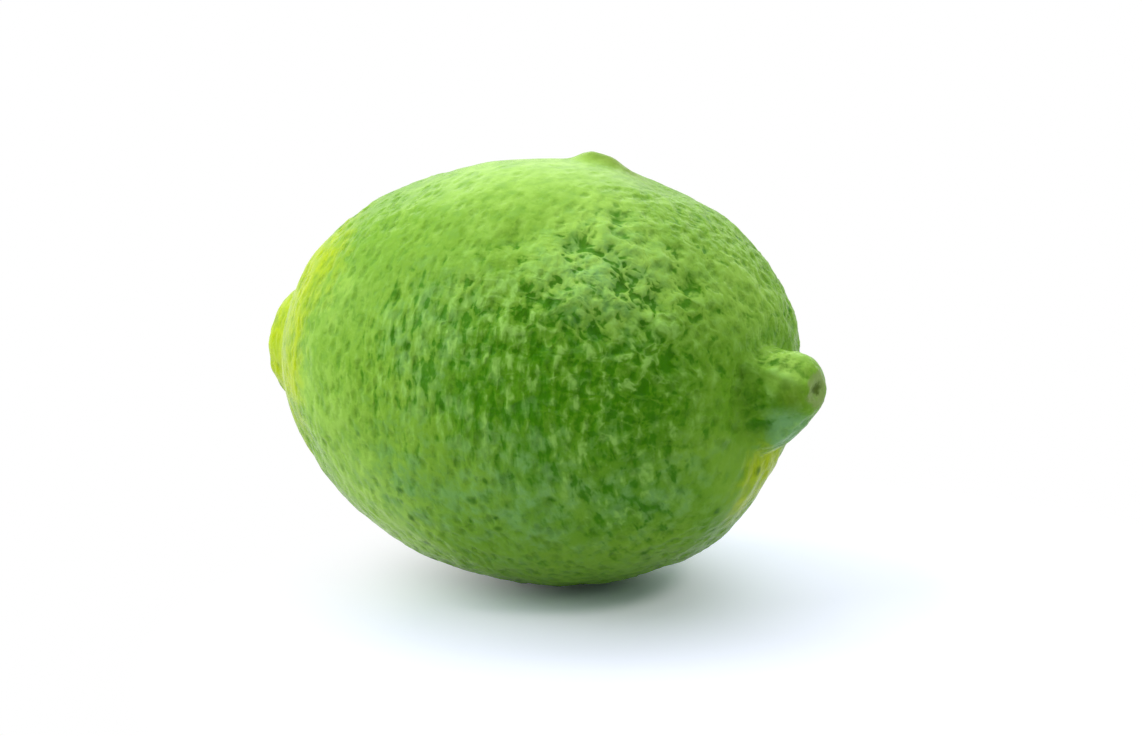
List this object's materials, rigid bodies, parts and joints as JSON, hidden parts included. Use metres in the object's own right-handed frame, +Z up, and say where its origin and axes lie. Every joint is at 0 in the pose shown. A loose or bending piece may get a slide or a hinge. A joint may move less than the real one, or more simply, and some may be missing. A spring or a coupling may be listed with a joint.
{
  "type": "lemon",
  "caption": "Whole green lemon lying on its side: pebbled oval fruit with a blunt nipple at one end and a low stem collar at the other.",
  "frame": {"origin": "on the flat spot that the fruit rests on, straight below its widest section", "axes": "+X along the fruit's length towards its nipple, +Y across it, +Z up"},
  "size_m": [0.0892, 0.0609, 0.0607],
  "materials": {
    "rind": "waxy pebbled rind, green with yellow ends and dark oil-gland dots"
  },
  "bodies": {
    "root": {"lemon": "rind"}
  },
  "joints": []
}
